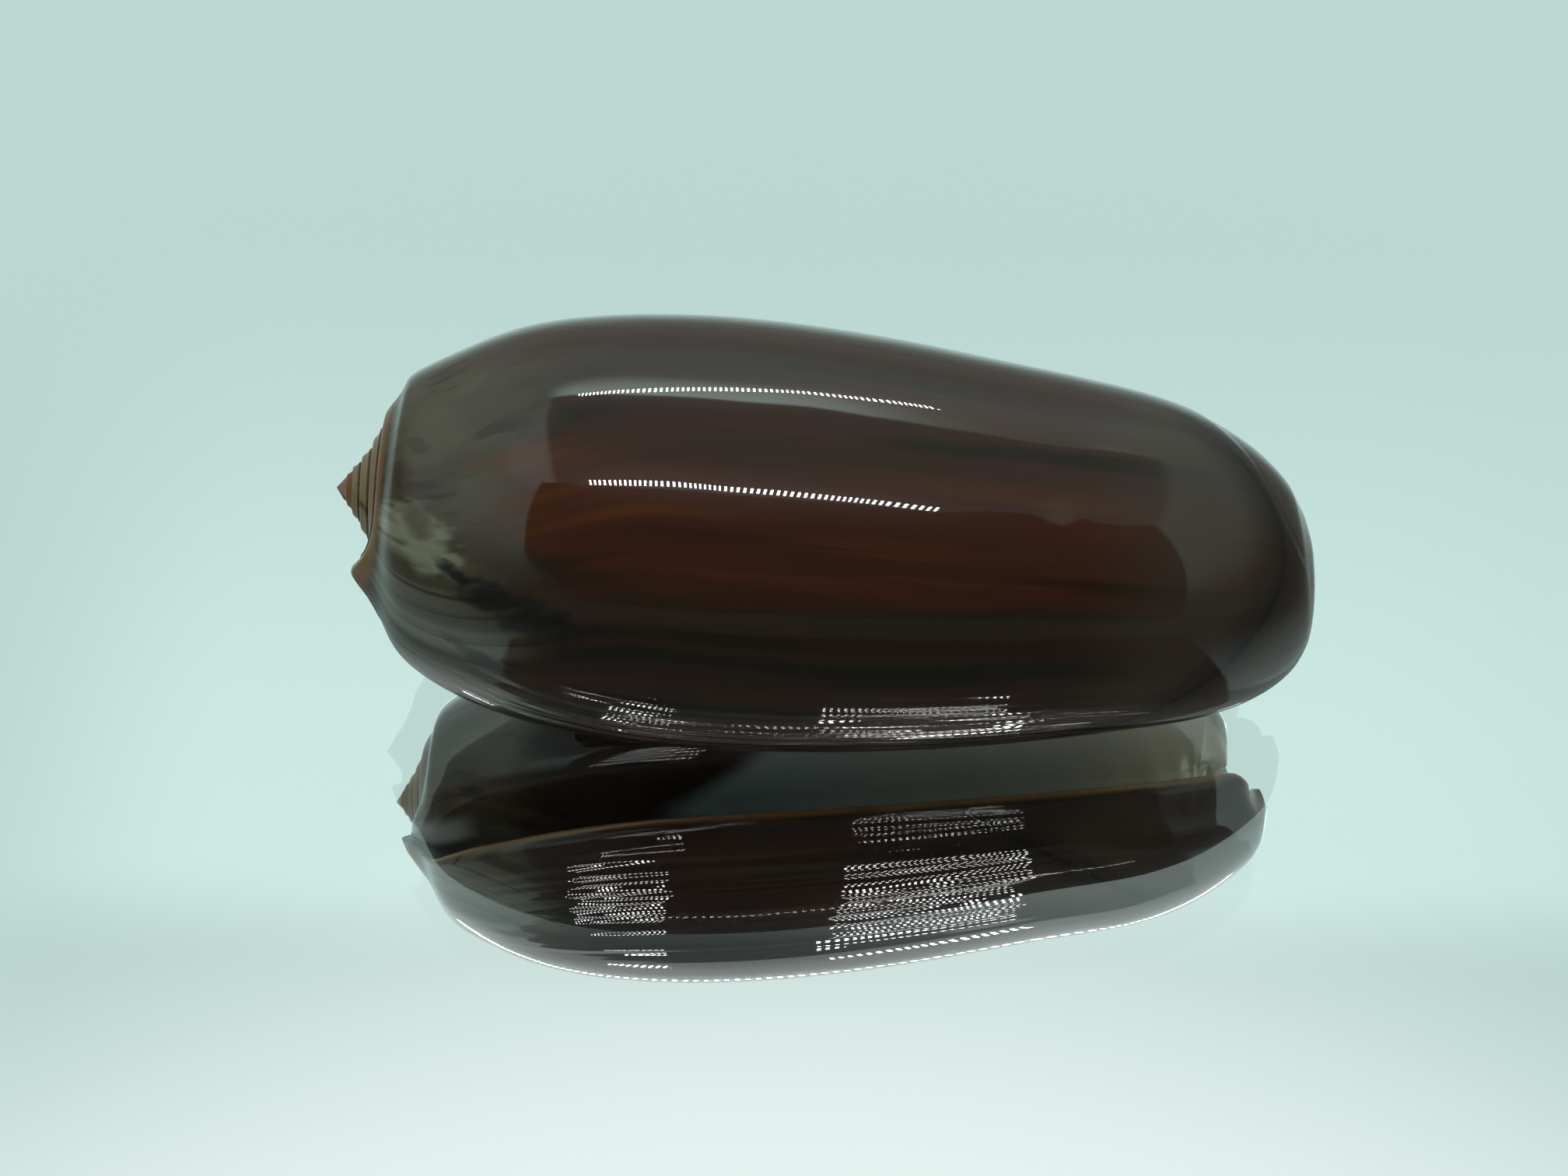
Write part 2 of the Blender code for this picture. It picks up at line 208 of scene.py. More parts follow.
def outside(turn, places):
    """Give the outside of a whorl at a turn, with the columella drawn in just past the lip."""
    points = spline(stations(turn), places)
    ending = smoothstep((places - 13.5) / (LAST_STATION - 13.5))
    points[:, 0] -= LIP_SHORTENING * ending * min(max(1.0 + turn / 0.20, 0.0), 1.0) ** 2
    if turn >= -1.0:
        past_lip = turn + 1.0
        depth = COLUMELLA_RECESS * smoothstep((places - BAND_STATIONS) / 3.0)
        depth = depth * (1.0 - 0.45 * smoothstep((places - 12.0) / 4.0))
        reach = RECESS_REACH + (SIPHONAL_RECESS_REACH - RECESS_REACH) * smoothstep((places - 11.0) / 4.0)
        points[:, 1] -= depth * (1.0 - smoothstep(past_lip / reach))
        points[:, 1] += fold_height(places) * (1.0 - smoothstep((past_lip - 0.02) / 0.06))
        hollow = HOLLOW_DEPTH * smoothstep((places - 13.2) / 1.2) * (1.0 - smoothstep((places - 14.6) / 1.3))
        points[:, 1] -= hollow * (1.0 - smoothstep((past_lip - 0.015) / HOLLOW_REACH))
        points[:, 0] -= COLUMELLA_ROUNDING * ending * max(0.0, 1.0 - past_lip / 0.25) ** 2
        beyond = points[:, 0] - FASCIOLE_AT_LIP - FASCIOLE_FALL * turn
        points[:, 1] -= FASCIOLE_STEP * smoothstep(beyond / 0.25 + 0.5) * smoothstep(1.0 - beyond / 5.0)
    return points


def wall_inside(turn, places, thickness):
    """Give the inside of the wall, which lies one thickness in from the outside."""
    points = outside(turn, places)
    ahead = outside(turn, np.minimum(places + 0.02, LAST_STATION))
    behind = outside(turn, np.maximum(places - 0.02, 0.0))
    run = ahead - behind
    run /= np.linalg.norm(run, axis=1)[:, None]
    inward = np.column_stack((run[:, 1], -run[:, 0]))
    return points + inward * thickness[:, None]


def lip_angle(places, turn):
    """Give the angle from which turns count, for each place from suture to siphonal end."""
    angle = LIP_ANGLE - LIP_LEAN * (1.0 - smoothstep((places - BAND_STATIONS) / 5.0))
    rounding = smoothstep((places - 13.6) / (LAST_STATION - 13.6)) ** 2
    return angle - LIP_ROUNDING * rounding * smoothstep(1.0 + turn / 0.3)


def place(points, turn, places, angle_turn=None):
    """Turn distances along and out into a point in space."""
    angle = np.radians(lip_angle(places, turn if angle_turn is None else angle_turn) + 360.0 * turn)
    return np.column_stack((points[:, 0], points[:, 1] * np.cos(angle), points[:, 1] * np.sin(angle)))


def chain_share(chain, split):
    """Give how far along a chain each point lies, counting 0 to 1 up to the split and 1 to 2 after it."""
    run = np.concatenate(([0.0], np.cumsum(np.linalg.norm(np.diff(chain, axis=0), axis=1))))
    return np.where(run <= run[split], run / run[split], 1.0 + (run - run[split]) / (run[-1] - run[split]))


def chain_point(chain, share, places):
    """Give the points that lie at the given shares of a chain."""
    return np.column_stack([np.interp(places, share, chain[:, axis]) for axis in range(3)])


def build_skin():
    """Give the skin's vertices, what is known of each one, and the faces.

    Of each vertex four numbers are kept for the enamel: its growth in turns, its distance along in
    millimetres, its station, and how far inside it lies, from 0 on the outside to 1 in the chamber.
    """
    coarse = np.arange(0.0, LIP_STEPS_FROM, 1.0 / STEPS_PER_WHORL)
    fine = np.arange(LIP_STEPS_FROM, 1.0 - 1e-6, 1.0 / (STEPS_PER_WHORL * LIP_STEPS))
    whorl = np.concatenate((coarse, fine))
    steps = len(whorl)
    turns = np.concatenate([whorl - WHORLS + number for number in range(WHORLS)] + [[0.0]])
    band = BAND_STATIONS * BAND_ROWS_PER_STATION
    band_places = np.linspace(0.0, BAND_STATIONS, band + 1)
    body_places = np.concatenate((
        np.linspace(BAND_STATIONS, SIPHONAL_STATION,
                    (SIPHONAL_STATION - BAND_STATIONS) * ROWS_PER_STATION + 1)[1:],
        np.linspace(SIPHONAL_STATION, LAST_STATION,
                    (LAST_STATION - SIPHONAL_STATION) * SIPHONAL_ROWS_PER_STATION + 1)[1:],
    ))
    rows = len(body_places)
    first_body = (WHORLS - 1) * steps
    last = WHORLS * steps
    vertices = []
    known = []
    faces = []

    def add(points, growth, station, inside):
        """Add vertices with what is known of them, and give their numbers."""
        start = len(vertices)
        count = len(points)
        vertices.extend(points)
        columns = [np.broadcast_to(np.asarray(value, float), (count,)) for value in (growth, station, inside)]
        along = np.asarray(points)[:, 0]
        known.extend(np.column_stack((columns[0], along, columns[1], columns[2])))
        return np.arange(start, start + count)

    # The whorls, bared between one suture and the next, and the last whorl down to the siphonal end.
    grid = np.full((last + 1, band + 1 + rows), -1)
    for step in range(last + 1):
        turn = turns[step]
        places = band_places[:-1] if step <= first_body else band_places
        grid[step, :len(places)] = add(place(outside(turn, places), turn, places), turn, places, 0.0)
        if step >= first_body:
            points = place(outside(turn, body_places), turn, body_places)
            grid[step, band + 1:] = add(points, turn, body_places, 0.0)
    for step in range(first_body + 1):
        grid[step, band] = grid[step + steps, 0]
    for step in range(last):
        end = band + rows if step >= first_body else band
        for row in range(end):
            faces.append((grid[step, row], grid[step + 1, row], grid[step + 1, row + 1], grid[step, row + 1]))

    # The tip of the spire.
    tip = add([(0.0, 0.0, 0.0)], -float(WHORLS), 0.0, 0.0)[0]
    ring = list(grid[:steps + 1, 0]) + list(grid[0, band - 1:0:-1])
    for here, there in zip(ring, ring[1:] + ring[:1]):
        faces.append((tip, there, here))

    # The lip's edge, the inside of the wall, the end of the chamber and the columella.
    places = np.concatenate(([float(BAND_STATIONS)], body_places))
    depth_steps = CHAMBER_REACH * (np.arange(1, CHAMBER_POINTS + 1) / CHAMBER_POINTS) ** 1.15
    grown = smoothstep((places - BAND_STATIONS) / 2.5)
    ending = np.sqrt(np.clip(1.0 - smoothstep((places - LAST_STATION + 1.6) / 1.6) ** 2, 0.0, 1.0))
    lip_wall = (0.25 + (LIP_THICKNESS - 0.25) * grown) * ending + RIM_THICKNESS * (1.0 - ending)
    columns = []
    returns = []
    insides = []
    for number in range(1, LIP_EDGE_POINTS + 1):
        swing = math.pi * number / (LIP_EDGE_POINTS + 1)
        inset = lip_wall * 0.5 * (1.0 - math.cos(swing))
        reach = np.degrees(lip_wall * 0.5 * math.sin(swing) / outside(0.0, places)[:, 1]) / 360.0
        columns.append(place(wall_inside(0.0, places, inset), reach, places, 0.0))
        returns.append(-0.0018 * number)
        insides.append(0.5 * number / (LIP_EDGE_POINTS + 1))
    edge_end = returns[-1]
    for number, depth in enumerate(depth_steps):
        inner_wall = lip_wall + (WALL - 0.25) * smoothstep(depth / 0.06) * (1.0 - grown) * ending
        columns.append(place(wall_inside(-depth, places, inner_wall), -depth, places))
        returns.append(min(-depth, edge_end - 0.0012 * (number + 1)))
        insides.append(0.5 + 0.5 * min(depth / 0.05, 1.0))
    wall_count = len(columns)

    start = outside(-1.0, places)
    inner_columns = []
    for depth in returns:
        wall_depth = max(0.0, -depth)
        wall = wall_inside(-wall_depth, places, lip_wall + (WALL - 0.25) * (1.0 - grown) * ending)
        blend = smoothstep(wall_depth / 0.06) * (1.0 - smoothstep((places - 9.0) / 6.0))
        along = start[:, 0] * (1.0 - blend) + wall[:, 0] * blend
        out = start[:, 1] * (1.0 - COLUMELLA_TAPER * wall_depth / CHAMBER_REACH)
        out -= fold_height(places) * smoothstep(wall_depth / 0.12)
        inner_columns.append(place(np.column_stack((along, out)), depth, places, -1.0))
    ends = []
    for number in range(1, CHAMBER_END_POINTS + 1):
        swing = math.pi * number / (CHAMBER_END_POINTS + 1)
        middle = 0.5 * (columns[wall_count - 1] + inner_columns[-1])
        half = 0.5 * (columns[wall_count - 1] - inner_columns[-1])
        radius = np.linalg.norm(half, axis=1)
        angle = np.radians(lip_angle(places, -1.0) + 360.0 * returns[-1])
        deeper = np.column_stack((np.zeros(len(places)), np.sin(angle), -np.cos(angle))) * radius[:, None]
        ends.append(middle + half * math.cos(swing) + deeper * math.sin(swing))

    loop = [add(column, turn, places, inside) for column, turn, inside in zip(columns, returns, insides)]
    loop += [add(column, -CHAMBER_REACH, places, 1.0) for column in ends]
    loop += [add(column, turn - 1.0, places, min(1.0, -turn / 0.10))
             for column, turn in zip(inner_columns[::-1], returns[::-1])]
    loop = np.array(loop)
    lip_column = grid[last, band:]
    start_column = grid[first_body, band:]
    sheet = np.vstack((lip_column, loop, start_column))
    for column in range(len(sheet) - 1):
        for row in range(rows):
            faces.append((sheet[column, row], sheet[column + 1, row],
                          sheet[column + 1, row + 1], sheet[column, row + 1]))

    # The posterior end of the chamber, closed by rungs between the wall and the columella.
    points = np.array(vertices)
    first_rung = grid[last, band::-1]
    chord = points[first_rung[0]] + np.linspace(0.0, 1.0, band + 1)[:, None] * (
        points[first_rung[-1]] - points[first_rung[0]])
    arch = points[first_rung] - chord
    rung = first_rung
    half_count = len(loop) // 2
    shares = np.linspace(0.0, 1.0, band + 1)[1:-1, None]
    for number in range(half_count):
        near, far = loop[number, 0], loop[len(loop) - 1 - number, 0]
        fade = max(0.0, 1.0 - (number + 1) / 20.0)
        between = points[near] + shares * (points[far] - points[near]) + arch[1:-1] * fade
        new = add(between, 0.0, float(BAND_STATIONS), 1.0 - fade * 0.5)
        following = np.concatenate(([near], new, [far]))
        for slot in range(band):
            faces.append((rung[slot], following[slot], following[slot + 1], rung[slot + 1]))
        rung = following
    faces.append(tuple(rung) + (loop[half_count, 0],))

    # The siphonal end, rounded over between the outside and the inside.
    outer_chain = grid[last:first_body - 1:-1, band + rows]
    inner_chain = loop[:, rows]
    outer_split = int(np.argmin(np.abs(turns[last:first_body - 1:-1] + CHAMBER_REACH)))
    outer_share = chain_share(points[outer_chain], outer_split)
    inner_share = chain_share(points[inner_chain], wall_count)
    outer_partner = chain_point(points[inner_chain], inner_share, outer_share)
    inner_partner = chain_point(points[outer_chain], outer_share, inner_share)
    edge = np.concatenate((outer_chain[::-1], inner_chain))
    partner = np.vstack((outer_partner[::-1], inner_partner))
    half = 0.5 * (partner - points[edge])
    height = np.minimum(np.linalg.norm(half, axis=1), RIM_DOME)
    facts = np.array(known)[edge]
    ring = edge
    for share in RIM_RINGS:
        moved = points[edge] + half * share
        moved[:, 0] += height * (1.0 - (1.0 - share) ** 2)
        following = add(moved, facts[:, 0], LAST_STATION + share, facts[:, 3] * (1.0 - share) + 0.5 * share)
        for here in range(len(edge)):
            there = (here + 1) % len(edge)
            faces.append((ring[here], ring[there], following[there], following[here]))
        ring = following
    outer_chain = ring[:steps + 1][::-1]
    inner_chain = ring[steps + 1:]
    here, there = 0, 0
    while here < len(outer_chain) - 1 or there < len(inner_chain) - 1:
        outer_next = outer_share[here + 1] if here < len(outer_chain) - 1 else math.inf
        inner_next = inner_share[there + 1] if there < len(inner_chain) - 1 else math.inf
        if outer_next <= inner_next:
            faces.append((outer_chain[here], outer_chain[here + 1], inner_chain[there]))
            here += 1
        else:
            faces.append((outer_chain[here], inner_chain[there + 1], inner_chain[there]))
            there += 1
    return np.array(vertices), np.array(known), faces


def enamel_wave(growth, along, station):
    """Give the depth of the enamel's low waves and growth steps at one place, in millimetres."""
    wave = noise.noise(Vector((growth * GIRTH / WAVE_LENGTH, along / WAVE_LENGTH, 3.1)))
    step = noise.noise(Vector((growth * GIRTH / GROWTH_STEP_LENGTH, along / 14.0, 8.7)))
    ridge = noise.noise(Vector((growth * GIRTH / RIDGE_LENGTH, along / 22.0, 5.3)))
    ridge += 0.5 * noise.noise(Vector((growth * GIRTH * 2.1 / RIDGE_LENGTH, along / 16.0, 1.9)))
    beside_lip = 1.0
    for rise in ((growth - RIDGES_START) / 0.05, (12.6 - station) / 1.5, (station - 6.2) / 1.8):
        beside_lip *= min(max(rise, 0.0), 1.0)
    below_rim = min(max((station - 2.0) / 2.5, 0.0), 1.0)
    return (WAVE_DEPTH * wave + GROWTH_STEP_DEPTH * step + RIDGE_DEPTH * ridge * beside_lip) * below_rim


vertices, known, faces = build_skin()
dip = math.radians(AXIS_DIP)
laid = np.column_stack((
    vertices[:, 0] * math.cos(dip) + vertices[:, 2] * math.sin(dip),
    vertices[:, 1],
    vertices[:, 2] * math.cos(dip) - vertices[:, 0] * math.sin(dip),
))
laid[:, 2] -= laid[:, 2].min() + BELLY_WEAR
laid[:, 2] = np.maximum(laid[:, 2], 0.0)
laid[:, :2] -= 0.5 * (laid[:, :2].max(axis=0) + laid[:, :2].min(axis=0))

shell_mesh = bpy.data.meshes.new("olive_shell")
shell_mesh.from_pydata([tuple(point) for point in laid], [], [tuple(int(v) for v in face) for face in faces])
skin = bmesh.new()
skin.from_mesh(shell_mesh)
bmesh.ops.recalc_face_normals(skin, faces=skin.faces)
bmesh.ops.triangulate(skin, faces=[face for face in skin.faces if len(face.verts) > 4])
skin.normal_update()
skin.verts.ensure_lookup_table()

# The siphonal rim is smoothed, the enamel's relief is sunk into the outside, and the siphonal end filled out.
rim_verts = [
    vertex for vertex, (growth, along, station, inside) in zip(skin.verts, known)
    if station > RIM_SMOOTH_FROM and inside < 0.6
]
for number in range(RIM_SMOOTH_STEPS):
    bmesh.ops.smooth_vert(
        skin, verts=rim_verts, factor=0.5, use_axis_x=True, use_axis_y=True, use_axis_z=True)
skin.normal_update()
for vertex, (growth, along, station, inside) in zip(skin.verts, known):
    if vertex.co.z > 0.02 and inside < 0.5 and growth > -1.0:
        depth = WAVE_DEPTH + RIDGE_DEPTH * 0.5 + enamel_wave(growth, along, station)
        vertex.co -= vertex.normal * depth * min(vertex.co.z, 1.0) * (1.0 - 2.0 * inside)
for vertex, (growth, along, station, inside) in zip(skin.verts, known):
    if growth > -0.5 and inside < 0.5:
        tip_share = smoothstep((vertex.co.x - SWELL_FROM) / 8.5) * smoothstep((SWELL_TO - vertex.co.x) / 0.9)
        round_share = smoothstep((growth + 0.50) / 0.14) * smoothstep((-growth - 0.01) / 0.06)
        high_share = smoothstep((vertex.co.z - 0.8) / 2.0) * (1.0 - 2.0 * inside)
        vertex.co += vertex.normal * END_SWELL * float(tip_share * round_share * high_share)

# It is kept within the solid's box, centred over the same place.
low = np.min([vertex.co for vertex in skin.verts], axis=0)
high = np.max([vertex.co for vertex in skin.verts], axis=0)
room = np.minimum((np.array(cad_box[1]) - np.array(cad_box[0])) / MM / (high - low), 1.0)
centre = 0.5 * (high + low)
centre[2] = 0.0
for vertex in skin.verts:
    vertex.co = Vector((np.array(vertex.co) - centre) * room) * MM
for face in skin.faces:
    face.smooth = True
skin.to_mesh(shell_mesh)
skin.free()
for name, column in (("growth", 0), ("along", 1), ("station", 2), ("inside", 3)):
    layer = shell_mesh.attributes.new(name, "FLOAT", "POINT")
    layer.data.foreach_set("value", known[:, column].astype(np.float32))

shell = bpy.data.objects.new("olive_shell", shell_mesh)
bpy.context.scene.collection.objects.link(shell)


def linear(colour):
    """Turn an sRGB hex colour into the linear one that a shader takes."""
    channels = [int(colour[start:start + 2], 16) / 255.0 for start in (1, 3, 5)]
    return tuple(c / 12.92 if c <= 0.04045 else ((c + 0.055) / 1.055) ** 2.4 for c in channels) + (1.0,)


# What a node's mode sets, and where its inputs and output are when they aren't the first ones. A mix takes
# the share, what lies below and what lies on top.
MODES = {
    "Attribute": "attribute_name", "MapRange": "interpolation_type", "Math": "operation", "Mix": "data_type",
}
INLETS = {"Mix": (0, 6, 7), "TexNoise": (0, 2, 3)}
OUTLETS = {"ShaderNodeAttribute": 2, "ShaderNodeMix": 2}


def add_node(kind, *inputs):
    """Add a node, given as its kind and mode, to the tree at hand, and set its inputs or link them.

    An input is a number, a hex colour, a node or a node's socket. It returns the node.
    """
    kind, _, mode = kind.partition(" ")
    node = tree.nodes.new("ShaderNode" + kind)
    if mode:
        setattr(node, MODES[kind], mode)
    for slot, value in zip(INLETS.get(kind, range(len(inputs))), inputs):
        if isinstance(value, bpy.types.Node):
            value = value.outputs[OUTLETS.get(value.bl_idname, 0)]
        if isinstance(value, bpy.types.NodeSocket):
            tree.links.new(node.inputs[slot], value)
        else:
            node.inputs[slot].default_value = linear(value) if isinstance(value, str) else value
    return node


# The enamel is aragonite, naturally glazed: laid down glassy smooth by the mantle, over a chalkier brown
# layer. That gives the eye a deep brown body with lengthwise growth streaks, and sharp reflections.
enamel = bpy.data.materials.new("glazed_aragonite_enamel")
enamel.use_nodes = True
tree = enamel.node_tree
surface = tree.nodes["Principled BSDF"]
surface.inputs["IOR"].default_value = 1.55
surface.inputs["Specular IOR Level"].default_value = 0.06
surface.inputs["Coat Roughness"].default_value = 0.012
surface.inputs["Coat IOR"].default_value = 1.53

growth = add_node("Attribute growth")
along = add_node("Attribute along")
station = add_node("Attribute station")
inside = add_node("Attribute inside")
round_mm = add_node("Math MULTIPLY", growth, GIRTH)
FLOW = 5.5  # how far the growth lines sweep back, in millimetres, between the rim and the body
FLOW_END = 14.0
line_mm = add_node("Math MULTIPLY_ADD", add_node("MapRange SMOOTHSTEP", along, 0.0, FLOW_END), FLOW, round_mm)


def streaks(across, lengthwise, seed, detail=2.0):
    """Give noise drawn out along the growth lines, with a grain of some millimetres across and lengthwise."""
    across_share = add_node("Math DIVIDE", line_mm, across)
    lengthwise_share = add_node("Math DIVIDE", along, lengthwise)
    return add_node("TexNoise", add_node("CombineXYZ", across_share, lengthwise_share, seed), 1.0, detail)


ragged = streaks(0.7, 1.5, 41.0)


def near(middle_growth, middle_along, half_round, half_length, most):
    """Give the most at a place, falling raggedly to 0 at some millimetres round and along from it."""
    from_middle = add_node("Math MULTIPLY_ADD", growth, GIRTH, -middle_growth * GIRTH)
    offset_round = add_node("Math DIVIDE", from_middle, half_round)
    offset_along = add_node("Math DIVIDE", add_node("Math SUBTRACT", along, middle_along), half_length)
    square_round = add_node("Math MULTIPLY", offset_round, offset_round)
    apart = add_node("Math MULTIPLY_ADD", offset_along, offset_along, square_round)
    broken = add_node("Math MULTIPLY_ADD", ragged, 2.4, add_node("Math SUBTRACT", apart, 1.2))
    return add_node("MapRange SMOOTHSTEP", broken, 1.0, 0.1, 0.0, most)


# Body: reddish chocolate, streaked from the shoulder to the siphonal end. The real one's finest growth lines
# stand a tenth of a millimetre apart, too fine to show, and are drawn four times as coarse.
broad = streaks(6.5, 60.0, 1.3)
medium = streaks(1.9, 30.0, 5.1)
fine = streaks(0.45, 14.0, 9.7)
body = add_node("Mix RGBA", add_node("MapRange SMOOTHSTEP", broad, 0.35, 0.65), "#56291A", "#6C341D")
for pattern, start, full, most, tone in (
    (medium, 0.52, 0.66, 0.75, "#7A3C14"),  # caramel streaks
    (medium, 0.45, 0.33, 0.80, "#20150F"),  # near-black streaks
    (fine, 0.55, 0.72, 0.35, "#7C4218"),  # fine caramel lines
    (growth, -0.222, -0.200, 0.66, "#25241D"),  # nearer the lip it is darker
    (growth, -0.28, -0.31, 0.55, "#2F2622"),  # and over the back
    (growth, -0.50, -0.75, 0.60, "#3A3429"),  # and on the far side it turns olive
):
    share = add_node("MapRange SMOOTHSTEP", pattern, start, full, 0.0, most)
    body = add_node("Mix RGBA", share, body, tone)

# Shoulder: olive tan, mottled with brown, under the body's streaks. Nearer the lip it is paler and banded.
blotches = add_node("MapRange SMOOTHSTEP", streaks(2.6, 5.0, 13.0), 0.40, 0.62)
shoulder = add_node("Mix RGBA", blotches, "#6A5A46", "#5C4837")
spots = add_node("MapRange SMOOTHSTEP", streaks(1.1, 3.0, 17.0), 0.56, 0.70, 0.0, 0.7)
shoulder = add_node("Mix RGBA", spots, shoulder, "#33271D")
by_lip = add_node("MapRange SMOOTHSTEP", growth, -0.19, -0.165)
bands = add_node("MapRange SMOOTHSTEP", streaks(0.9, 40.0, 31.0, 1.0), 0.42, 0.62)
banded = add_node("Mix RGBA", bands, "#574D3D", "#857C66")
shoulder = add_node("Mix RGBA", add_node("Math MULTIPLY", by_lip, 0.8), shoulder, banded)
off_line = add_node("Math ABSOLUTE", add_node("Math SUBTRACT", streaks(1.6, 50.0, 37.0, 0.0), 0.5))
thin_lines = add_node("MapRange SMOOTHSTEP", off_line, 0.03, 0.005, 0.0, 0.75)
shoulder = add_node("Mix RGBA", add_node("Math MULTIPLY", thin_lines, by_lip), shoulder, "#2A221B")
shoulder = add_node("Mix RGBA", near(-0.180, 4.0, 2.0, 2.2, 0.85), shoulder, "#B4AD93")
uneven = add_node("Math MULTIPLY_ADD", medium, 6.0, along)
colour = add_node("Mix RGBA", add_node("MapRange SMOOTHSTEP", uneven, 12.5, 8.0), body, shoulder)
# Near-black marks and brown ones, each with its middle, its half sizes in millimetres and its strength.
for *mark, tone in (
    (-0.169, 5.4, 0.45, 0.9, 0.92, "#17120E"), (-0.101, 6.6, 0.5, 1.6, 0.92, "#17120E"),
    (-0.162, 8.0, 1.2, 3.0, 0.92, "#17120E"), (-0.274, 3.6, 0.6, 0.6, 0.60, "#4A3022"),
    (-0.237, 2.85, 1.2, 0.9, 0.60, "#4A3022"), (-0.195, 3.9, 1.0, 0.8, 0.60, "#4A3022"),
):
    colour = add_node("Mix RGBA", near(*mark), colour, tone)

# Rim and spire: a cream rim with an orange-brown line beside it, and tan whorls up to an orange tip.
spire = add_node("Mix RGBA", add_node("MapRange SMOOTHSTEP", growth, -4.4, -3.2), "#A86A3E", "#B69C7C")
spire = add_node("Mix RGBA", add_node("MapRange SMOOTHSTEP", growth, -2.1, -1.9, 0.0, 0.8), spire, "#B98E74")
last_whorl = add_node("MapRange SMOOTHSTEP", growth, -1.02, -0.98)
bared = add_node("Mix RGBA", last_whorl, spire, shoulder)
colour = add_node("Mix RGBA", add_node("MapRange SMOOTHSTEP", station, 3.2, 2.2), colour, bared)
strength = add_node("MapRange LINEAR", last_whorl, 0.0, 1.0, 0.25, 1.0)
for start, full, tone in ((2.6, 1.8, "#94602E"), (1.2, 0.95, "#D6BE98")):
    share = add_node("Math MULTIPLY", add_node("MapRange SMOOTHSTEP", station, start, full), strength)
    colour = add_node("Mix RGBA", share, colour, tone)

# Siphonal end: pinkish tan, crossed by a dark arc, with a warm rim. Where the arc runs back from its top it
# follows the edge where the notch once lay; where it runs on towards the lip it is a painted dark reflection.
uneven = add_node("Math MULTIPLY_ADD", medium, 4.0, along)
ARC_TOP = 39.3  # the dark line lies furthest out here
ARC_GROWTH = -0.26
ARC_BEND = 165.0
aside = add_node("Math SUBTRACT", growth, ARC_GROWTH)
arc = add_node("Math MULTIPLY_ADD", add_node("Math MULTIPLY", aside, aside), -ARC_BEND, ARC_TOP)
off_arc = add_node("Math ABSOLUTE", add_node("Math SUBTRACT", along, arc))
# The two dark tones along off_arc are partly the notch's old edge and partly a painted dark reflection, on
# the arc's side towards the lip.
for pattern, start, full, most, tone in (
    (uneven, 32.0, 37.0, 0.75, "#57443A"), (off_arc, 2.0, 0.2, 0.55, "#1E1712"),
    (off_arc, 0.35, 0.05, 0.60, "#120E0B"), (station, 14.6, 16.0, 0.70, "#8A6650"),
):
    share = add_node("MapRange SMOOTHSTEP", pattern, start, full, 0.0, most)
    colour = add_node("Mix RGBA", share, colour, tone)

# Fasciole: the band that the siphonal notch laid down, paler on the belly, with a dark line along its edge.
fasciole_edge = add_node("Math MULTIPLY_ADD", growth, FASCIOLE_FALL, FASCIOLE_AT_LIP)
past_edge = add_node("Math SUBTRACT", along, fasciole_edge)
on_last_whorl = add_node("MapRange SMOOTHSTEP", growth, -1.0, -0.995, 0.0, 0.75)
share = add_node("Math MULTIPLY", add_node("MapRange SMOOTHSTEP", past_edge, -0.2, 0.4), on_last_whorl)
fasciole = add_node("Mix RGBA", add_node("MapRange SMOOTHSTEP", growth, -0.70, -0.85), "#5A4A40", "#B9B29C")
colour = add_node("Mix RGBA", share, colour, fasciole)
share = add_node("Math MULTIPLY", add_node("MapRange SMOOTHSTEP", past_edge, -0.45, -0.1),
                 add_node("MapRange SMOOTHSTEP", past_edge, 0.5, 0.1, 0.0, 0.6))
colour = add_node("Mix RGBA", share, colour, "#241812")

# Callus: the pale glaze that covers the belly beside the columella, and the chamber, bluer towards the spire.
# Its tones are painted brighter than the glaze's own colour: painted light on the shell's dim underside.
CALLUS_START = -0.998
CALLUS_WIDENS = 0.15  # turns from the shoulder to the siphonal end
widening = add_node("MapRange SMOOTHSTEP", along, 13.0, 27.0, 0.0, CALLUS_WIDENS)
past_callus = add_node("Math SUBTRACT", growth, add_node("Math ADD", widening, CALLUS_START))
callus_share = add_node("Math MULTIPLY", add_node("MapRange SMOOTHSTEP", past_callus, 0.02, -0.01),
                        add_node("MapRange SMOOTHSTEP", along, 13.0, 16.0))
callus_share = add_node("Math MAXIMUM", callus_share, add_node("MapRange SMOOTHSTEP", inside, 0.42, 0.60))
# The callus tones below are partly the glaze's colour and partly painted light, made brighter to light the
# underside.
callus = add_node("Mix RGBA", add_node("MapRange SMOOTHSTEP", along, 12.0, 30.0), "#9DB4BA", "#E0E1D8")
callus = add_node("Mix RGBA", add_node("MapRange SMOOTHSTEP", along, 30.0, 38.0), callus, "#F0E8D2")
colour = add_node("Mix RGBA", callus_share, colour, callus)

# The pale pad at the posterior end of the mouth, and the tan edge of the lip.
for tone, *limits in (
    ("#D8DAD4", (growth, -0.955, -0.985, 1.0), (growth, -1.02, -1.0, 1.0), (along, 5.2, 3.4, 0.9)),
    ("#AE7E4C", (inside, 0.06, 0.16, 1.0), (inside, 0.46, 0.36, 1.0), (growth, -0.9, -0.5, 1.0)),
):
    share = 1.0
    for pattern, start, full, most in limits:
        limit = add_node("MapRange SMOOTHSTEP", pattern, start, full, 0.0, most)
        share = add_node("Math MULTIPLY", limit, share)
    colour = add_node("Mix RGBA", share, colour, tone)
tree.links.new(surface.inputs["Base Color"], colour.outputs[OUTLETS["ShaderNodeMix"]])

